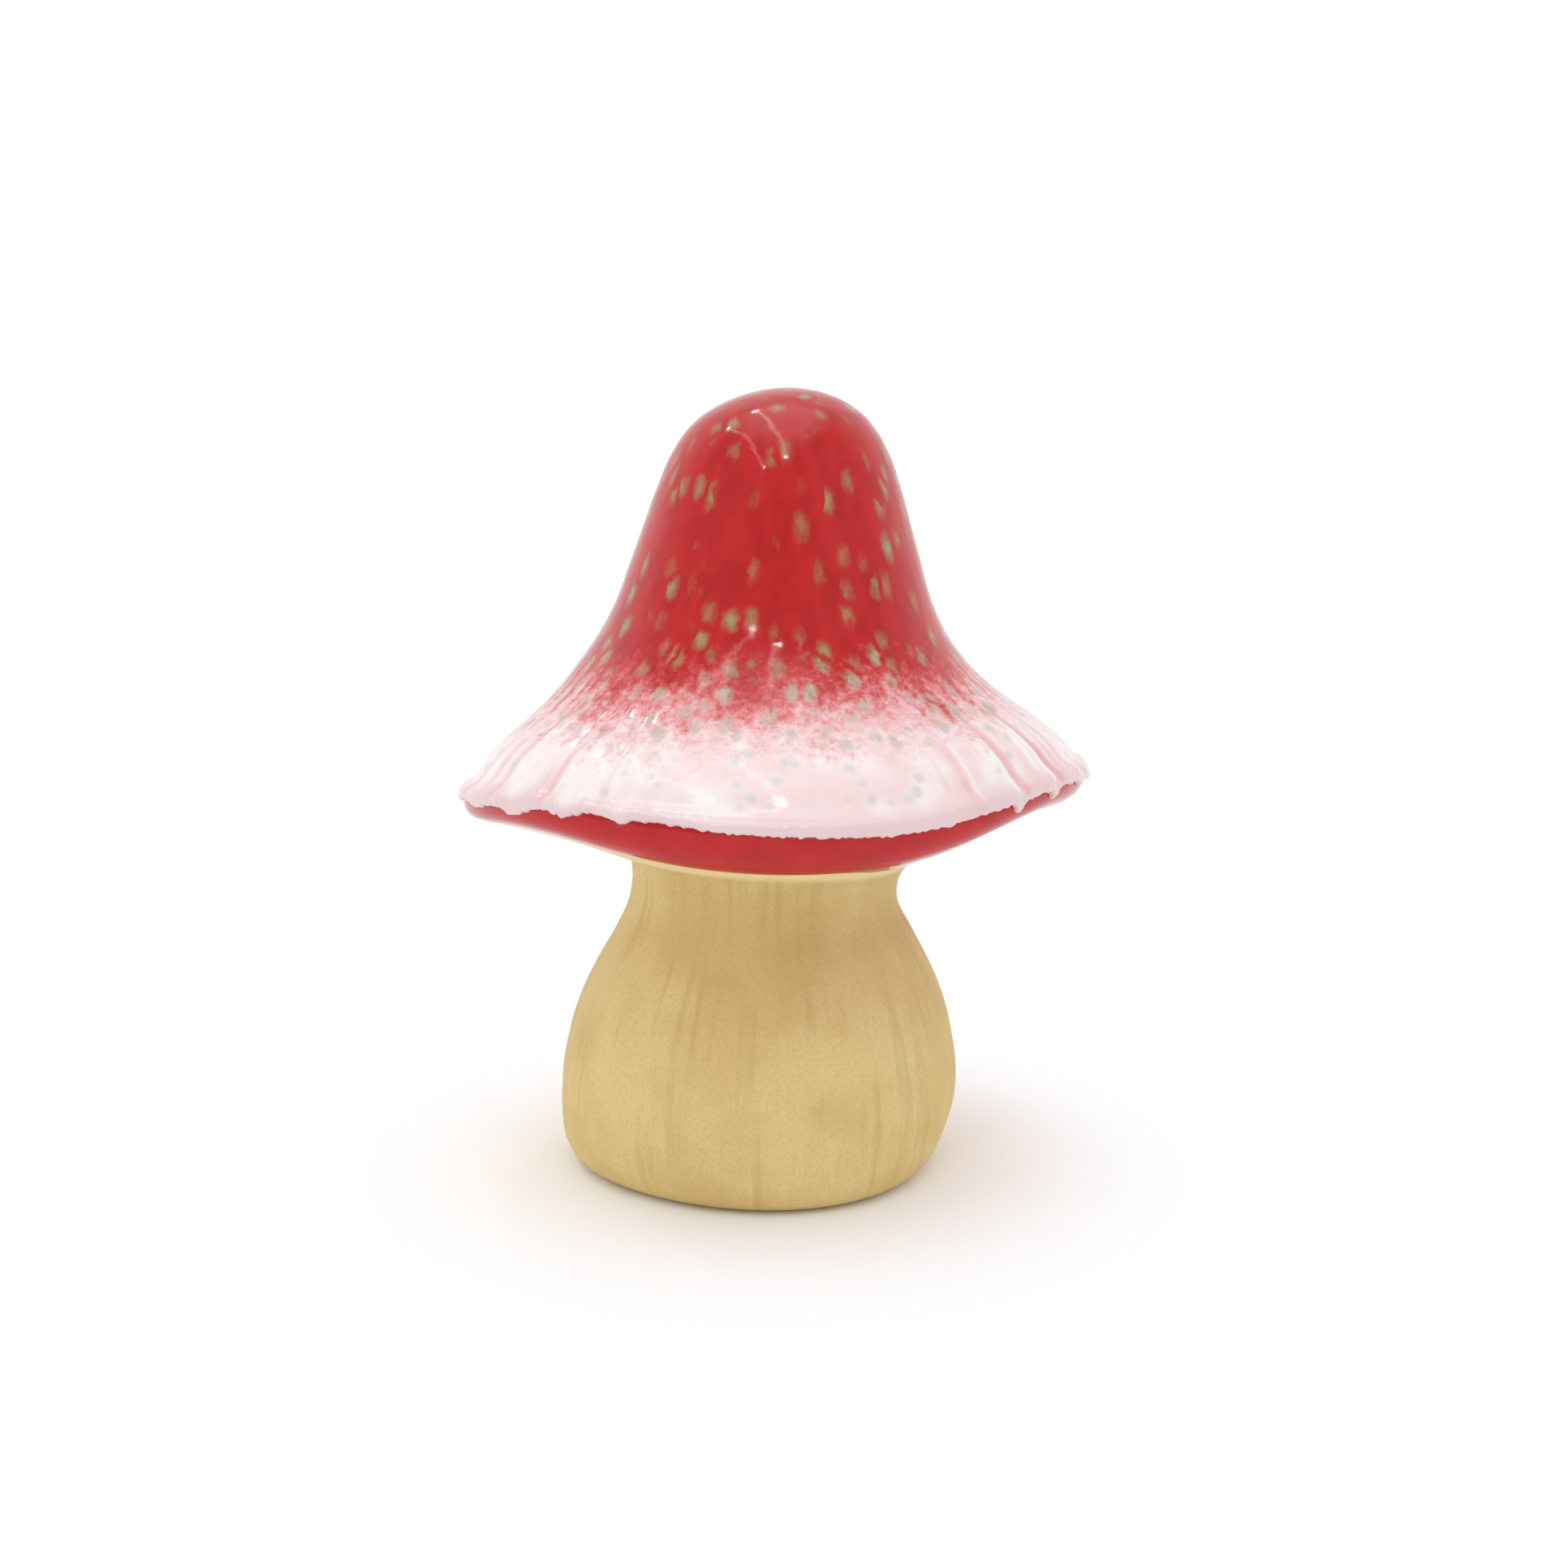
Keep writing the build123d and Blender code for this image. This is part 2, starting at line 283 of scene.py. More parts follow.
def bare_clay(name, painted_bounce_tint=None, painted_bounce_heights=None):
    """Unglazed stoneware, with drawn-out streaks and pin holes.
    Where two heights are given, it goes between them to a paler colour, with painted bounce light and
    painted sheen."""
    finish, tree, shader = new_finish(name)
    everywhere = place(tree)
    patches = fade(tree, cloud(tree, everywhere, PATCH_SIZE), *PATCH_RANGE)
    grain = cloud(tree, everywhere, GRAIN_SIZE, detail=GRAIN_DETAIL, roughness=GRAIN_SHARPNESS)
    up_and_down = place(tree, STREAK_STRETCH, kept="round")
    streaks = fade(tree, cloud(tree, up_and_down, STREAK_SIZE, detail=STREAK_DETAIL), *STREAK_RANGE)
    streaked = fade(tree, cloud(tree, place(tree, shift=STREAKED_SHIFT), STREAKED_SIZE), *STREAKED_RANGE)
    pit_distance, pit_lots = spots(tree, everywhere, PIT_SPACING)
    pits = fade(tree, pit_distance, *PIT_RANGE, 1.0, 0.0)
    pits = sums(tree, "MULTIPLY", pits, sums(tree, "LESS_THAN", pit_lots[0], PIT_LOTS))
    tint = blend_colours(tree, patches, CLAY, CLAY_PALE)
    tint = blend_colours(tree, fade(tree, grain, *GRAIN_RANGE, 0.0, GRAIN_SHARE), tint, CLAY_STREAK)
    tint = blend_colours(tree, sums(tree, "MULTIPLY", streaks, streaked, STREAK_SHARE), tint, CLAY_STREAK)
    tint = blend_colours(tree, pits, tint, CLAY_PIT)
    # Painted light: above the given heights the clay turns paler, as painted bounce light from the floor
    # and a painted sheen at grazing view.
    if painted_bounce_tint:
        height = read_mark(tree, "plain_height")["Fac"]
        tint = blend_colours(tree, fade(tree, height, *painted_bounce_heights), tint, painted_bounce_tint)
    feed(tree, shader.inputs["Base Color"], tint)
    feed(tree, shader.inputs["Roughness"], fade(tree, grain, *CLAY_ROUGH_RANGE, *CLAY_ROUGHNESS))
    shader.inputs["IOR"].default_value = CLAY_IOR
    relief = sums(tree, "SUBTRACT", grain, sums(tree, "MULTIPLY", streaks, STREAK_DEPTH), pits)
    roughen(tree, shader, relief, CLAY_RELIEF)
    return finish


stem.data.materials.append(bare_clay("bare_stoneware"))
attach(stem, "root")
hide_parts("stem_body")

# Joining slip
# Thin clay that beds the cap on the stem's shoulder and fills round the spigot.
# The little that squeezed out was wiped to a hollow fillet round the neck, and fired with the rest.
# This pale colour is painted bounce light and grazing sheen over the clay's colour, on the top of the slip
# fillet and on all the cap's bare clay.
CLAY_WITH_PAINTED_BOUNCE = (0.88, 0.74, 0.43)
PAINTED_BOUNCE_HEIGHTS = (48.1, 49.1)
SOCKET_R = 16.1
CAP_FLOOR = 54.2
FILLET = [(20.45, 42.6), (20.68, 44.4), (20.85, 46.0), (21.25, 47.3), (22.3, 48.5), (24.3, 49.55)]
HOLLOW = 1.2
HOLLOW_START_R = 24.5
HOLLOW_FADE_R = 38.0
HOLLOW_END_R = 46.0
BULGE = 1.7
BULGE_MIDDLE = -150
BULGE_WIDTH = 33


def mark(piece, name, values):
    """Keeps a number for each point of a piece, for its finish to read."""
    layer = piece.data.attributes.new(name, "FLOAT", "POINT")
    layer.data.foreach_set("value", values)


def gap(first, second):
    """The angle from one direction round the cap to another, in degrees."""
    return (second - first + 180) % 360 - 180


def bump(distance, width):
    """A smooth bump, 1 in its middle."""
    return exp(-(distance / width) ** 2 / 2)


def hollow(radius, direction):
    """How far the underside is hollowed at a place, in millimetres. At the left it bulges instead."""
    depth = HOLLOW - HOLLOW * BULGE * bump(gap(BULGE_MIDDLE, direction), BULGE_WIDTH)
    return depth * ease(NECK_R, HOLLOW_START_R, radius) * ease(HOLLOW_END_R, HOLLOW_FADE_R, radius)


slip = spin_outline("neck_slip", [
    (FILLET, 6),
    ([FILLET[-1], (NECK_R, SEAT_Z)], 2),
    ([(NECK_R, SEAT_Z), (SOCKET_R, SEAT_Z)], 1),
    ([(SOCKET_R, SEAT_Z), (SOCKET_R, CAP_FLOOR)], 2),
    ([(SOCKET_R, CAP_FLOOR), (SPIGOT_R, CAP_FLOOR)], 1),
    ([(SPIGOT_R, CAP_FLOOR), (SPIGOT_R, SHOULDER_Z)], 2),
    ([(SPIGOT_R, SHOULDER_Z), (FILLET[0][0], SHOULDER_Z)], 1),
    ([(FILLET[0][0], SHOULDER_Z), FILLET[0]], 2),
], STEM_STEPS)
keep_round(slip, STREAK_R)
mark(slip, "plain_height", [vertex.co.z / MM for vertex in slip.data.vertices])
for vertex in slip.data.vertices:
    x, y, z = vertex.co / MM
    z += hollow(hypot(x, y), degrees(atan2(y, x)))
    vertex.co = on_the_lean(x, y, z)
slip.data.materials.append(bare_clay("joining_slip", CLAY_WITH_PAINTED_BOUNCE, PAINTED_BOUNCE_HEIGHTS))
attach(slip, "root")
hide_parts("luting_ring")

# Cap
# The bell is cast hollow in the same stoneware, then bent and pinched by hand while soft, so it leans,
# its brim rises and dips and its flare is pleated. Bare clay shows only as a ring under the brim.
EDGE_X = 44.6
EDGE_Z = 59.6
EDGE_R = 2.8
COAT = 0.7
BRIM_R = 48.1
UNDER_START_R = 24.0
BELL_END = 45
CLAY_TURNS = (BELL_END, 0, -40, -72)
BELL = [
    (0.0, 120.0), (2.5, 119.8), (6.5, 118.9), (10.2, 117.2), (13.4, 114.7), (16.4, 110.3), (18.5, 105.1),
    (21.7, 95.3), (25.3, 85.4), (30.3, 78.0), (32.7, 75.4), (35.3, 72.9), (38.4, 70.4), (41.6, 67.9),
    (44.2, 65.4),
]
CAVITY = [
    (0.0, 114.7), (5.5, 113.8), (9.0, 111.8), (11.5, 108.0), (16.3, 94.0), (19.9, 83.4), (25.2, 75.2),
    (33.5, 67.8), (36.8, 64.4), (37.2, 61.8), (33.5, 59.3), (27.0, 57.0), (NECK_R, CAP_FLOOR),
]
CAP_STEPS = 360
CAP_LEAN_Z = 78.0
CAP_LEAN = 0.045
CAP_NOD_Z = 112.0
CAP_NOD = 0.012
SEAT_X = 1.4
SEAT_HEIGHTS = (EDGE_Z + 2, CAP_FLOOR - 2)
BRIM_X = 2.3
BRIM_TILT = 2.0
BRIM_TOP = 84.0
FLARE_HEIGHTS = (EDGE_Z - 2, EDGE_Z + 4)
SWELLS = [(-138, 20, 3.4), (-68, 15, -0.7), (-33, 15, 1.9), (60, 25, 0.8), (128, 22, -0.9)]
OVAL = 0.045
LEFT = 180
LEFT_WIDTH = 35
LEFT_SHORT = 0.017
SAGS = [(-84, 26, 2.0), (-30, 12, -0.6), (55, 34, 1.8)]
SAG_R = 43.5
SAG_WIDTH = 2.8
SAG_HEIGHTS = (EDGE_Z - 1, EDGE_Z - 4)
FOLD_TOP = 80.0
FOLD_FULL = 66.0
FOLD_END_HEIGHTS = (EDGE_Z - 1, EDGE_Z + 2)
FOLD_RISE = 0.7
FOLDS = [
    (-153, 0.3, 3.0), (-139, 0.42, 3.2), (-125.5, 0.42, 2.6), (-115, 0.3, 2.2), (-44, 0.6, 0.9),
    (-33, 0.65, 1.0), (-20, 0.3, 1.4), (-6, 0.22, 1.8), (5, 0.2, 2.2), (16, 0.3, 1.8), (27, 0.3, 1.8),
    (41, 0.55, 1.5), (50, 0.3, 1.3), (71, 0.35, 2.4), (88, 0.5, 1.6), (97, 0.25, 1.4), (115, 0.5, 2.0),
    (126, 0.4, 1.5), (146, 0.3, 2.6), (158, 0.35, 1.8), (175, 0.22, 2.4), (-167, 0.25, 2.2),
]
RIDGE = 0.6
VALLEY_OFF = 2.1
VALLEY_WIDTH = 1.1


def beside(points, distance):
    """A run of points, each moved square to the run by a distance, to the right of the way it goes."""
    moved = []
    for i, point in enumerate(points):
        before = Vector(points[max(i - 1, 0)])
        after = Vector(points[min(i + 1, len(points) - 1)])
        run = (after - before).normalized()
        radius = point[0] - run.y * distance if point[0] else 0.0
        moved.append((radius, point[1] + run.x * distance))
    return moved


def edge(angle, coat):
    """A point of the brim's rounded edge, under a coat of glaze."""
    reach = EDGE_R + coat
    return (EDGE_X + reach * cos(radians(angle)), EDGE_Z + reach * sin(radians(angle)))


def direction_of(x, y):
    """The direction of a point round the cap, in degrees, to a hundredth."""
    return round(degrees(atan2(y, x)), 2)


@lru_cache(maxsize=None)
def pleat(direction):
    """How far the flare stands out at a direction: ridges pinched up, each with a valley behind it."""
    total = 0.0
    for crest, height, width in FOLDS:
        backwards = 1 if cos(radians(crest)) > 0 else -1
        off = gap(crest, direction)
        valley = bump(off - backwards * VALLEY_OFF * width, VALLEY_WIDTH)
        total += height * (RIDGE * bump(off, width) - valley)
    return total


@lru_cache(maxsize=None)
def brim_lift(direction):
    """How far the brim is raised at a direction: it tilts, and swells up and down."""
    lift = BRIM_TILT * cos(radians(direction))
    for middle, width, rise in SWELLS:
        lift += rise * bump(gap(middle, direction), width)
    return lift


@lru_cache(maxsize=None)
def brim_sag(direction):
    """How far the lower side of the brim's edge hangs at a direction.
    The edge is thick in front and at the back right, and thin at the right."""
    return sum(depth * bump(gap(middle, direction), width) for middle, width, depth in SAGS)


def shape_by_hand(piece):
    """Bends a spun piece of the cap as the real one is bent, and keeps its folds and its plain height."""
    folds = []
    heights = []
    for vertex in piece.data.vertices:
        x, y, z = vertex.co / MM
        radius = hypot(x, y)
        direction = direction_of(x, y)
        below = min(max((radius - UNDER_START_R) / (BRIM_R - UNDER_START_R), 0), 1)
        share = below + (ease(BRIM_TOP, EDGE_Z, z) - below) * ease(*FLARE_HEIGHTS, z)
        fold = pleat(direction) * ease(FOLD_TOP, FOLD_FULL, z) * ease(*FOLD_END_HEIGHTS, z)
        folds.append(fold)
        heights.append(z)
        if radius > 0:
            x += FOLD_RISE * fold * x / radius
            y += FOLD_RISE * fold * y / radius
        sag = brim_sag(direction) * bump(radius - SAG_R, SAG_WIDTH) - hollow(radius, direction)
        sag *= ease(*SAG_HEIGHTS, z)
        seat = -SEAT_TILT * x * (1 - share) * ease(*SEAT_HEIGHTS, z)
        lean = CAP_LEAN * max(z - CAP_LEAN_Z, 0) + CAP_NOD * max(z - CAP_NOD_Z, 0) ** 2
        lean -= (BRIM_X - SEAT_X) * ease(EDGE_Z, SEAT_Z, z)
        x *= 1 - LEFT_SHORT * share * bump(gap(LEFT, direction), LEFT_WIDTH)
        y *= 1 - OVAL * share
        z += share * brim_lift(direction) + seat + FOLD_RISE * fold - sag
        vertex.co = Vector((x + BRIM_X + lean, y, z)) * MM
    mark(piece, "fold", folds)
    mark(piece, "plain_height", heights)


clay_bell = beside(BELL, -COAT)
clay_edge = [edge(angle, 0) for angle in CLAY_TURNS]
cap = spin_outline("cap_clay", [
    (clay_bell + clay_edge, 4),
    ([clay_edge[-1], (NECK_R, SEAT_Z)], 12),
    ([(NECK_R, SEAT_Z), (SOCKET_R, SEAT_Z)], 1),
    ([(SOCKET_R, SEAT_Z), (SOCKET_R, CAP_FLOOR)], 2),
    ([(SOCKET_R, CAP_FLOOR), (NECK_R, CAP_FLOOR)], 1),
    (CAVITY[::-1], 3),
], CAP_STEPS)
keep_round(cap, BRIM_R)
shape_by_hand(cap)
# Its bare clay is painted pale, as painted bounce light and sheen on the ring under the brim.
cap.data.materials.append(bare_clay("cap_stoneware", CLAY_WITH_PAINTED_BOUNCE, PAINTED_BOUNCE_HEIGHTS))
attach(cap, "root")
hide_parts("cap_body")

# Red band
# The brim was dipped in a glossy red glaze, which goes round its edge and some way along the underside.
# It reaches the neck in front and at the right, and at the left it was wiped back to a narrow band.
BAND_COAT = 0.68
BAND_BED = 0.06
BAND_TURNS = (42, 20, 0, -25, -48, -68)
BED_TURNS = (-68, -35, 0, 42)
BAND_STOP_R = 23.5
WIPED_BACK = 18.0
WIPED_MIDDLE = -160
WIPED_WIDTH = 45.5
BAND_WAVER = 0.5
WAVERS_ROUND = 4
BAND_INNER_R = 22.0
BAND_OUTER_R = 45.0
RIM_SHADE_WIDTH = 1.2
STOP_COAT = 0.2
STOP_ROUND = 0.2
UNDER_SLOPE = 0.3528

band_face = [edge(angle, BAND_COAT) for angle in BAND_TURNS]
band_bed = [edge(angle, BAND_BED) for angle in BED_TURNS]
clay_z = SEAT_Z + (BAND_INNER_R - NECK_R) * UNDER_SLOPE
stop_start = (BAND_INNER_R, clay_z - STOP_COAT)
stop_end = (BAND_INNER_R - STOP_ROUND, clay_z - BAND_BED)
band = spin_outline("red_band", [
    (band_face, 5),
    ([band_face[-1], stop_start], 14),
    ([stop_start, stop_end], 2),
    ([stop_end, band_bed[0]], 6),
    (band_bed, 3),
    ([band_bed[-1], band_face[0]], 1),
], CAP_STEPS)
# Marks a narrow rim at the glaze's stop, which the finish darkens as painted shade along the stop edge.
stop_shade_marks = []
for vertex in band.data.vertices:
    x, y, z = vertex.co / MM
    radius = hypot(x, y)
    stop_shade_marks.append(ease(BAND_INNER_R + RIM_SHADE_WIDTH, BAND_INNER_R, radius))
    if radius < BAND_OUTER_R:
        angle = atan2(y, x)
        stop = BAND_STOP_R + WIPED_BACK * bump(gap(WIPED_MIDDLE, degrees(angle)), WIPED_WIDTH)
        stop += BAND_WAVER * noise.noise((WAVERS_ROUND * cos(angle), WAVERS_ROUND * sin(angle), 0))
        narrowed = (BAND_OUTER_R - stop) / (BAND_OUTER_R - BAND_INNER_R)
        new_radius = BAND_OUTER_R - (BAND_OUTER_R - radius) * narrowed
        z += (new_radius - radius) * UNDER_SLOPE
        vertex.co = Vector((x * new_radius / radius, y * new_radius / radius, z)) * MM
shape_by_hand(band)
mark(band, "stop_rim_shade", stop_shade_marks)

RED = (0.52, 0.013, 0.015)
RED_DEEP = (0.44, 0.009, 0.011)
RED_RIM_PAINTED_SHADE = (0.24, 0.02, 0.012)
GRAIN_OLIVE = (0.315, 0.205, 0.105)
BAND_IOR = 1.4
BAND_DULL = 2
GLOSS = 0.07
GLOSS_SIZE = 3.0
GLOSS_RANGE = (0.3, 0.7)
DEPTH_SIZE = 5.0
DEPTH_DETAIL = 3.0
DEPTH_RANGE = (0.3, 0.75)
SPECK_SPACING = 3.2
SPECK_STRETCH = (1, 1, 0.7)
SPECK_RANGE = (0.14, 0.34)
SPECK_SHARE = 0.5
SPECK_LOTS = 0.4
SPECK_HEIGHTS = (58.5, 60.0)
BAND_RIPPLE_SIZE = 7.0
BAND_RIPPLE_DETAIL = 1.0
BAND_RELIEF = 0.1

band_finish, tree, shader = new_finish("red_glaze_band")
everywhere = place(tree)
depth = cloud(tree, everywhere, DEPTH_SIZE, detail=DEPTH_DETAIL)
tint = blend_colours(tree, fade(tree, depth, *DEPTH_RANGE), RED, RED_DEEP)
speck_distance, speck_lots = spots(tree, place(tree, SPECK_STRETCH), SPECK_SPACING)
specks = sums(
    tree, "MULTIPLY", fade(tree, speck_distance, *SPECK_RANGE, SPECK_SHARE, 0.0),
    sums(tree, "LESS_THAN", speck_lots[0], SPECK_LOTS),
    fade(tree, read_mark(tree, "plain_height")["Fac"], *SPECK_HEIGHTS),
)
tint = blend_colours(tree, specks, tint, GRAIN_OLIVE)
# Painted shade: a dark red line along the glaze's stop edge.
tint = blend_colours(tree, read_mark(tree, "stop_rim_shade")["Fac"], tint, RED_RIM_PAINTED_SHADE)
feed(tree, shader.inputs["Base Color"], tint)
dulled = cloud(tree, everywhere, GLOSS_SIZE)
feed(tree, shader.inputs["Roughness"], fade(tree, dulled, *GLOSS_RANGE, GLOSS, BAND_DULL * GLOSS))
shader.inputs["IOR"].default_value = BAND_IOR
roughen(tree, shader, cloud(tree, everywhere, BAND_RIPPLE_SIZE, detail=BAND_RIPPLE_DETAIL), BAND_RELIEF)
band.data.materials.append(band_finish)
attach(band, "root")
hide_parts("underside_glaze")

# Bell glaze
# Red glaze over the crown and white over the flare were sprayed on and ran together in the fire, with a
# scatter of grey-green grains. The white ran down the pleats and stopped in a scalloped roll at the brim.
BELL_STEPS = 900
COAT_BED = 0.04
LIP = 13
ROLL_TOP = LIP + 6
ROLL_FOOT = LIP - 2
ROLL_MIDDLE = 28
ROLL = [(47, 0.75), (38, 1.15), (ROLL_MIDDLE, 1.45), (ROLL_TOP, 1.5), (LIP, 1.25)]
LIP_RUNS = [
    (-147, 8, -14), (-134, 4, -9), (-118, 7, 8), (-107, 5, 5), (-90, 7, -5), (-69, 11, -11), (-45, 14, -10),
    (-10, 14, -14), (38, 12, 7), (75, 9, -7), (112, 12, 6), (150, 9, -6), (175, 8, -8),
]
LIP_FOLLOW = 62
DRIP = 34.0
DRIP_WIDTH = 0.8
TEETH = 11.0
TEETH_ROUND = 40.0
SCALLOPS = 6.0
SCALLOPS_ROUND = 2.5
NOISE_LAYER = 0.1


@lru_cache(maxsize=None)
def lip_drop(direction):
    """How far round the edge the white roll has run at a direction, in degrees, up being more."""
    angle = radians(direction)
    around = Vector((cos(angle), sin(angle), NOISE_LAYER))
    drop = SCALLOPS * noise.noise(around * SCALLOPS_ROUND) - TEETH * abs(noise.noise(around * TEETH_ROUND))
    for middle, width, rise in LIP_RUNS:
        drop += rise * bump(gap(middle, direction), width)
    for crest, height, width in FOLDS:
        drop -= DRIP * height * bump(gap(crest, direction), DRIP_WIDTH * width)
    return drop


roll = [edge(angle, coat) for angle, coat in ROLL]
roll_foot = edge(ROLL_FOOT, BAND_COAT + COAT_BED)
bell_end = edge(BELL_END, COAT)
bell_inside = beside(BELL, COAT_BED - COAT)
bell = spin_outline("bell_glaze", [
    (BELL + roll + [roll_foot], 4),
    ([roll_foot, edge(ROLL_MIDDLE, BAND_COAT + COAT_BED), bell_end], 2),
    ([bell_end, bell_inside[-1]], 1),
    (bell_inside[::-1], 1),
], BELL_STEPS)
keep_round(bell, BRIM_R)
for vertex in bell.data.vertices:
    x, y, z = vertex.co / MM
    radius = hypot(x, y)
    turn = degrees(atan2(z - EDGE_Z, radius - EDGE_X))
    if radius > EDGE_X and turn < LIP_FOLLOW:
        moved = lip_drop(direction_of(x, y)) * ease(LIP_FOLLOW, ROLL_TOP, turn)
        new_radius, z = edge(turn + moved, hypot(radius - EDGE_X, z - EDGE_Z) - EDGE_R)
        vertex.co = Vector((x * new_radius / radius, y * new_radius / radius, z)) * MM
shape_by_hand(bell)

SALMON = (0.62, 0.085, 0.085)
PINK = (0.78, 0.36, 0.375)
BLUSH = (0.86, 0.66, 0.67)
WHITE = (0.90, 0.83, 0.825)
LILAC_WITH_PAINTED_SHADE = (0.76, 0.555, 0.575)
GRAIN_CORE = (0.37, 0.31, 0.165)
GRAIN_GREY = (0.50, 0.455, 0.37)
GRAIN_PALE = (0.66, 0.635, 0.605)
GLAZE_IOR = 1.45
BELL_DULL = 1.5
CROWN_X = 4.0
COARSE_SIZE = 9.0
COARSE_SWAY = 8.0
COARSE_RANGE = (0.35, 0.65)
RUN_SIZE = 2.6
RUN_STRETCH = (1, 1, 0.35)
RUN_SWAY = 6.0
RUN_RANGE = (0.3, 0.7)
SPECKLE_SIZE = 1.1
SPECKLE_DETAIL = 3.0
SPECKLE_SHARPNESS = 0.68
SPECKLE_SWAY = 13.0
SPECKLE_DEPTH = 0.06
CREASE_SIZE = 2.6
CREASE_STRETCH = (1, 1, 0.05)
CREASE_ASIDE = (14.0, 28.0)
CREASE_HEIGHTS = (84.0, 74.0)
CREASE_SWAY = 14.0
CREASE_CREST = (0.5, 0.64)
CREASE_CREST_SHARE = 0.9
CREASE_VALLEY = (0.48, 0.34)
CREASE_VALLEY_SHARE = 0.5
CREASE_DEPTH = 1.6
LIP_SHADE_HEIGHTS = (63.5, 61.0)
LIP_SHADE_SHARE = 0.85
SPOT_PATCH = 1.2
SPOT_PUSH = 1.1
SPOT_SPACING = 3.0
SPOT_LOTS = 0.72
SPOT_HEIGHTS = (61.5, 64.0)
SPOT_RANGE = (0.1, 0.44)
SPOT_SHARE = 0.85
HALO_RANGE = (0.2, 0.65)
HALO_SHARE = 0.35
FOLD_VALLEY = (-0.12, -0.5)
FOLD_VALLEY_SHARE = 0.6
FOLD_CREST = (0.1, 0.3)
FOLD_CREST_SHARE = 0.9
PINK_HEIGHTS = (67.0, 76.0)
SALMON_HEIGHTS = (72.0, 79.0)
RED_HEIGHTS = (75.5, 82.5)
FLANK_ASIDE = (4.0, 14.0)
CROWN_HEIGHTS = (104.0, 112.0)
CLUMP_SIZE = 12.0
CLUMP_SHIFT = (11, 4, 8)
CLUMP_RANGE = (0.36, 0.58)
CLUMP_LOTS = (0.55, 1.0)
MIDDLE_LOTS = 0.4
LOW_HEIGHTS = (90.0, 80.0)
LOW_LOTS = 0.95
FLECK_PATCH = 0.9
FLECK_PUSH = 1.2
FLECK_SPACING = 3.2
FLECK_STRETCH = (1, 1, 0.5)
FLECK_RANGE = (0.18, 0.55)
FLECK_BORDER = (0.0, 0.24)
FLECK_SHARES = (0.4, 0.9)
FLECK_HEIGHTS = (66.0, 72.5)
FLECK_CORE = (0.3, 0.1)
RIPPLE_SIZE = 6.0
BELL_RELIEF = 0.15


def sway(tree, value, reach):
    """A random number from 0 to 1 turned into one from minus to plus half a reach."""
    return sums(tree, "MULTIPLY", sums(tree, "SUBTRACT", value, 0.5), reach)


def pushed(tree, where, size, reach):
    """Places pushed about at random, in patches of a size, so that what is drawn on them is uneven."""
    made = tree.nodes.new("ShaderNodeVectorMath")
    made.operation = "MULTIPLY_ADD"
    feed(tree, made.inputs[0], cloud(tree, where, size, colour=True))
    feed(tree, made.inputs[1], (reach, reach, reach))
    feed(tree, made.inputs[2], where)
    return made.outputs[0]


def borders(tree, where, size):
    """Distance from the border between one of a scatter of points and the next, in cells of that size."""
    made = tree.nodes.new("ShaderNodeTexVoronoi")
    made.feature = "DISTANCE_TO_EDGE"
    feed(tree, made.inputs["Vector"], where)
    feed(tree, made.inputs["Scale"], 1 / size)
    return made.outputs["Distance"]


glaze, tree, shader = new_finish("bell_glaze")
everywhere = place(tree)
height = read_mark(tree, "plain_height")["Fac"]
fold = read_mark(tree, "fold")["Fac"]
coarse = cloud(tree, everywhere, COARSE_SIZE)
runs = cloud(tree, place(tree, RUN_STRETCH), RUN_SIZE)
speckle = cloud(tree, everywhere, SPECKLE_SIZE, detail=SPECKLE_DETAIL, roughness=SPECKLE_SHARPNESS)
mottled = sums(
    tree, "ADD", height, sway(tree, coarse, COARSE_SWAY), sway(tree, runs, RUN_SWAY),
    sway(tree, speckle, SPECKLE_SWAY),
)
from_middle = tree.nodes.new("ShaderNodeSeparateXYZ")
feed(tree, from_middle.inputs[0], place(tree, shift=(-CROWN_X, 0, 0)))
aside = sums(tree, "ABSOLUTE", from_middle.outputs["X"], 0.0)
creases = cloud(tree, place(tree, CREASE_STRETCH, kept="round"), CREASE_SIZE)
creased = sums(tree, "MULTIPLY", fade(tree, aside, *CREASE_ASIDE), fade(tree, height, *CREASE_HEIGHTS))
mottled = sums(tree, "ADD", mottled, sums(tree, "MULTIPLY", sway(tree, creases, CREASE_SWAY), creased))

ground = blend_colours(tree, fade(tree, coarse, *COARSE_RANGE), BLUSH, WHITE)
crests = fade(tree, creases, *CREASE_CREST, 0.0, CREASE_CREST_SHARE)
valleys = fade(tree, creases, *CREASE_VALLEY, 0.0, CREASE_VALLEY_SHARE)
ground = blend_colours(tree, sums(tree, "MULTIPLY", crests, creased), ground, WHITE)
ground = blend_colours(tree, sums(tree, "MULTIPLY", valleys, creased), ground, PINK)
# The roll's lower side is painted lilac-grey: a lilac tint of the glaze with painted shade where the roll
# turns down.
ground = blend_colours(tree, fade(tree, height, *LIP_SHADE_HEIGHTS, 0.0, LIP_SHADE_SHARE), ground, LILAC_WITH_PAINTED_SHADE)
spot_distance, spot_lots = spots(tree, pushed(tree, everywhere, SPOT_PATCH, SPOT_PUSH), SPOT_SPACING)
picked = sums(tree, "LESS_THAN", spot_lots[0], SPOT_LOTS)
picked = sums(tree, "MULTIPLY", picked, fade(tree, height, *SPOT_HEIGHTS))
halo = sums(tree, "MULTIPLY", fade(tree, spot_distance, *HALO_RANGE, HALO_SHARE, 0.0), picked)
core = sums(tree, "MULTIPLY", fade(tree, spot_distance, *SPOT_RANGE, SPOT_SHARE, 0.0), picked)
ground = blend_colours(tree, halo, ground, WHITE)
ground = blend_colours(tree, core, ground, GRAIN_PALE)
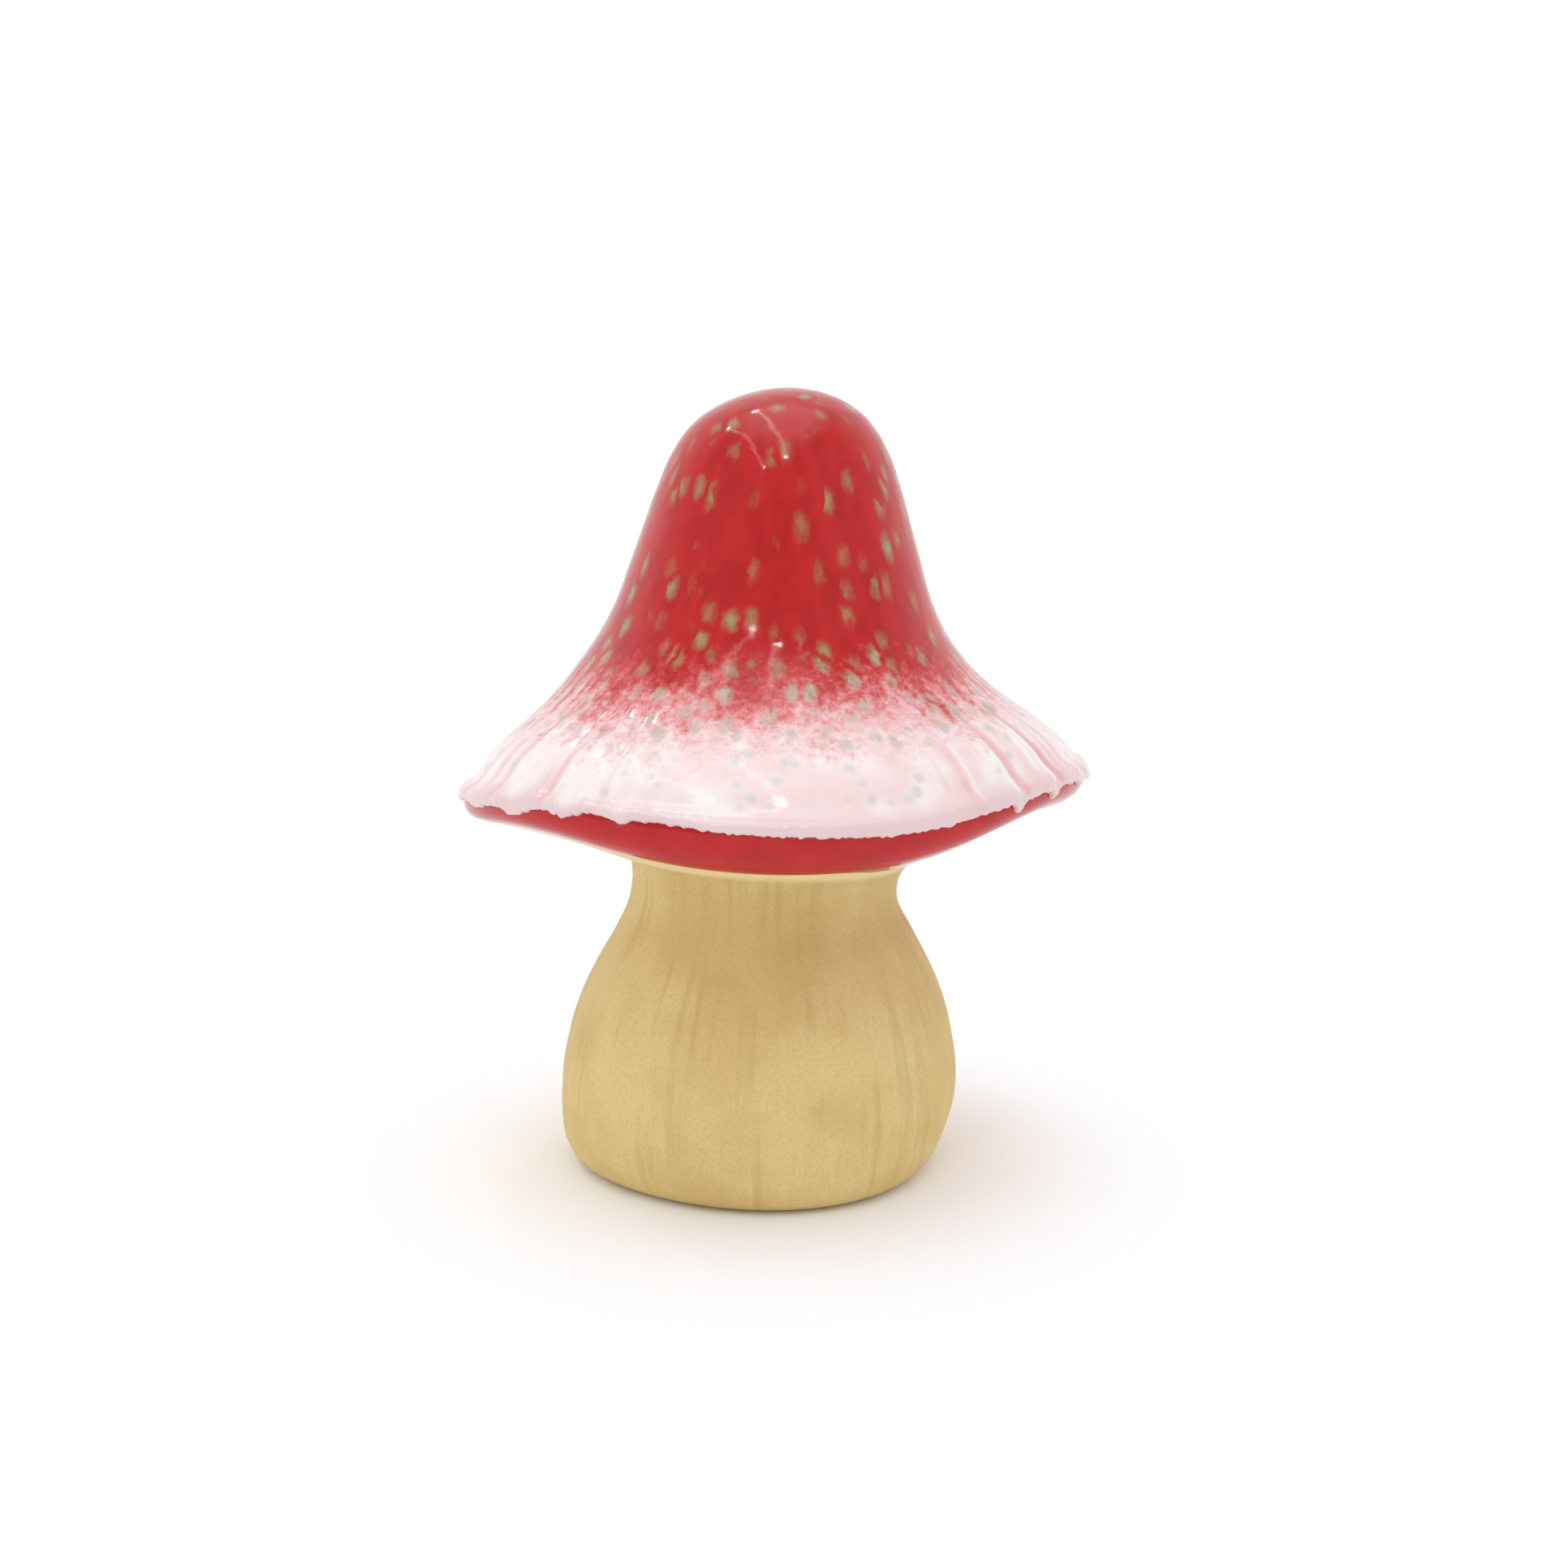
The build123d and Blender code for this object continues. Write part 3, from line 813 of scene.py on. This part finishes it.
ground = blend_colours(tree, fade(tree, fold, *FOLD_VALLEY, 0.0, FOLD_VALLEY_SHARE), ground, PINK)
ground = blend_colours(tree, fade(tree, fold, *FOLD_CREST, 0.0, FOLD_CREST_SHARE), ground, WHITE)

redness = fade(tree, mottled, *RED_HEIGHTS)
red = blend_colours(tree, fade(tree, runs, *RUN_RANGE), RED, RED_DEEP)
ground = blend_colours(tree, fade(tree, mottled, *PINK_HEIGHTS), ground, PINK)
ground = blend_colours(tree, fade(tree, mottled, *SALMON_HEIGHTS), ground, SALMON)
ground = blend_colours(tree, redness, ground, red)

flank = sums(tree, "MAXIMUM", fade(tree, aside, *FLANK_ASIDE), fade(tree, height, *CROWN_HEIGHTS))
clumps = cloud(tree, place(tree, shift=CLUMP_SHIFT), CLUMP_SIZE)
clumps = fade(tree, clumps, *CLUMP_RANGE, *CLUMP_LOTS)
clumps = sums(tree, "MULTIPLY", clumps, fade(tree, flank, 0.0, 1.0, MIDDLE_LOTS, 1.0))
clumps = sums(tree, "MAXIMUM", clumps, fade(tree, height, *LOW_HEIGHTS, 0.0, LOW_LOTS))
fleck_place = pushed(tree, place(tree, FLECK_STRETCH), FLECK_PATCH, FLECK_PUSH)
fleck_distance, fleck_lots = spots(tree, fleck_place, FLECK_SPACING)
flecks = sums(
    tree, "MULTIPLY", fade(tree, fleck_distance, *FLECK_RANGE, 1.0, 0.0),
    fade(tree, borders(tree, fleck_place, FLECK_SPACING), *FLECK_BORDER),
    sums(tree, "LESS_THAN", fleck_lots[0], clumps),
    fade(tree, fleck_lots[1], 0.0, 1.0, *FLECK_SHARES),
    fade(tree, height, *FLECK_HEIGHTS),
)
fleck_tint = blend_colours(tree, fade(tree, fleck_distance, *FLECK_CORE), GRAIN_OLIVE, GRAIN_CORE)
fleck_tint = blend_colours(tree, redness, GRAIN_GREY, fleck_tint)
ground = blend_colours(tree, flecks, ground, fleck_tint)
feed(tree, shader.inputs["Base Color"], ground)
dulled = cloud(tree, everywhere, GLOSS_SIZE)
feed(tree, shader.inputs["Roughness"], fade(tree, dulled, *GLOSS_RANGE, GLOSS, BELL_DULL * GLOSS))
shader.inputs["IOR"].default_value = GLAZE_IOR
ripples = cloud(tree, everywhere, RIPPLE_SIZE)
ripples = sums(tree, "ADD", ripples, sums(tree, "MULTIPLY", speckle, SPECKLE_DEPTH))
ripples = sums(tree, "ADD", ripples, sums(tree, "MULTIPLY", creases, creased, CREASE_DEPTH))
roughen(tree, shader, ripples, BELL_RELIEF)
bell.data.materials.append(glaze)
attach(bell, "root")
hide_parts("crown_glaze", "brim_glaze")

# Floor
# A plain white sheet that runs out of view, with the ornament's soft shadow on it.
FLOOR_SIZE = 6.0
FLOOR_WHITE = (0.955, 0.96, 0.96)
FLOOR_ROUGHNESS = 0.8
FLOOR_SHINE = 0.1
SHADOW_REACH = 0.026
SHADOW_END = 0.072

bpy.ops.object.select_all(action="DESELECT")
bpy.ops.mesh.primitive_plane_add(size=FLOOR_SIZE)
floor = bpy.context.object
floor.name = "floor"
sheet, tree, shader = new_finish("white_sheet")
shader.inputs["Base Color"].default_value = (*FLOOR_WHITE, 1)
shader.inputs["Roughness"].default_value = FLOOR_ROUGHNESS
shader.inputs["Specular IOR Level"].default_value = FLOOR_SHINE
glow = tree.nodes.new("ShaderNodeEmission")
away = tree.nodes.new("ShaderNodeVectorMath")
away.operation = "LENGTH"
feed(tree, away.inputs[0], tree.nodes.new("ShaderNodeTexCoord").outputs["Object"])
ray = tree.nodes.new("ShaderNodeLightPath").outputs
seen = sums(tree, "MAXIMUM", ray["Is Camera Ray"], ray["Is Glossy Ray"], ray["Is Transmission Ray"])
white_share = sums(tree, "MULTIPLY", fade(tree, away.outputs["Value"], SHADOW_REACH, SHADOW_END), seen)
joined = tree.nodes.new("ShaderNodeMixShader")
feed(tree, joined.inputs[0], white_share)
feed(tree, joined.inputs[1], shader.outputs[0])
feed(tree, joined.inputs[2], glow.outputs[0])
feed(tree, tree.nodes["Material Output"].inputs["Surface"], joined.outputs[0])
floor.data.materials.append(sheet)

# Light
# A white light tent, dimmer at its open front, with two strips of lamps under its roof, each brightest
# at its two ends. As the glaze mirrors it, the tent is dimmer and its roof brighter than as it lights.
TENT_SIDES = 1.12
TENT_FRONT = 0.8
TENT_FRONT_Y = (-0.85, -0.6)
TENT_ROOF = 0.94
TENT_ROOF_Z = (0.6, 0.9)
TENT_IN_GLOSS = 0.5
BEHIND_IN_GLOSS = 0.85
BEHIND_IN_GLOSS_Y = (-0.1, 0.5)
ROOF_IN_GLOSS = 1.9
ROOF_IN_GLOSS_Z = (0.8, 0.97)
STRIP_Z = 460.0
STRIP_TURN = radians(16.3)
STRIP_WIDTH = 12.0
STRIP_LENGTH = 440.0
STRIP_WATTS = 0.06
STRIP_MIDDLES = [(-33, -75), (-167, -140)]
FRONT_END_SIZE = 14.0
BACK_END_SIZE = 24.0
END_WATTS = 0.07

world = bpy.data.worlds.new("light_tent")
bpy.context.scene.world = world
world.use_nodes = True
tree = world.node_tree
backdrop = tree.nodes["Background"]
around = tree.nodes.new("ShaderNodeSeparateXYZ")
feed(tree, around.inputs[0], tree.nodes.new("ShaderNodeTexCoord").outputs["Generated"])
sides = fade(tree, around.outputs["Y"], *TENT_FRONT_Y, TENT_FRONT, TENT_SIDES)
level = fade(tree, around.outputs["Z"], *TENT_ROOF_Z, sides, TENT_ROOF)
ray = tree.nodes.new("ShaderNodeLightPath").outputs
in_gloss = fade(tree, around.outputs["Y"], *BEHIND_IN_GLOSS_Y, TENT_IN_GLOSS, BEHIND_IN_GLOSS)
in_gloss = fade(tree, around.outputs["Z"], *ROOF_IN_GLOSS_Z, in_gloss, ROOF_IN_GLOSS)
level = sums(tree, "MULTIPLY", level, fade(tree, ray["Is Glossy Ray"], 0.0, 1.0, 1.0, in_gloss))
feed(tree, backdrop.inputs["Strength"], sums(tree, "MAXIMUM", level, ray["Is Camera Ray"]))
backdrop.inputs["Color"].default_value = (1, 1, 1, 1)


def lamp(name, x, y, width, length, watts):
    """A flat lamp under the tent's roof, facing down, of a size in millimetres."""
    where = Vector((x, y, STRIP_Z)) * MM
    bpy.ops.object.light_add(type="AREA", location=where, rotation=(0, 0, STRIP_TURN))
    made = bpy.context.object
    made.name = name
    made.data.shape = "RECTANGLE"
    made.data.size = width * MM
    made.data.size_y = length * MM
    made.data.energy = watts


for number, (x, y) in enumerate(STRIP_MIDDLES):
    lamp(f"strip_{number}", x, y, STRIP_WIDTH, STRIP_LENGTH, STRIP_WATTS)
    for side, size in ((-0.5, FRONT_END_SIZE), (0.5, BACK_END_SIZE)):
        end_x = x - side * STRIP_LENGTH * sin(STRIP_TURN)
        end_y = y + side * STRIP_LENGTH * cos(STRIP_TURN)
        lamp(f"strip_{number}_end", end_x, end_y, size, size, END_WATTS)

# Camera
# It stands in front, almost as high as the ornament, and looks a little down on it.
# Its focal length was found in pixels of the photograph.
CAMERA_PLACE = (4.3, -300.0, 108.0)
CAMERA_DOWN = radians(9.19)
PHOTO_WIDTH = 1932
FOCAL_PIXELS = 2408
SENSOR = 36.0
NEAREST = 0.01

bpy.ops.object.camera_add(location=Vector(CAMERA_PLACE) * MM, rotation=(pi / 2 - CAMERA_DOWN, 0, 0))
camera = bpy.context.object
camera.data.sensor_width = SENSOR
camera.data.lens = SENSOR * FOCAL_PIXELS / PHOTO_WIDTH
camera.data.clip_start = NEAREST
bpy.context.scene.camera = camera
bpy.context.scene.view_settings.view_transform = "Standard"
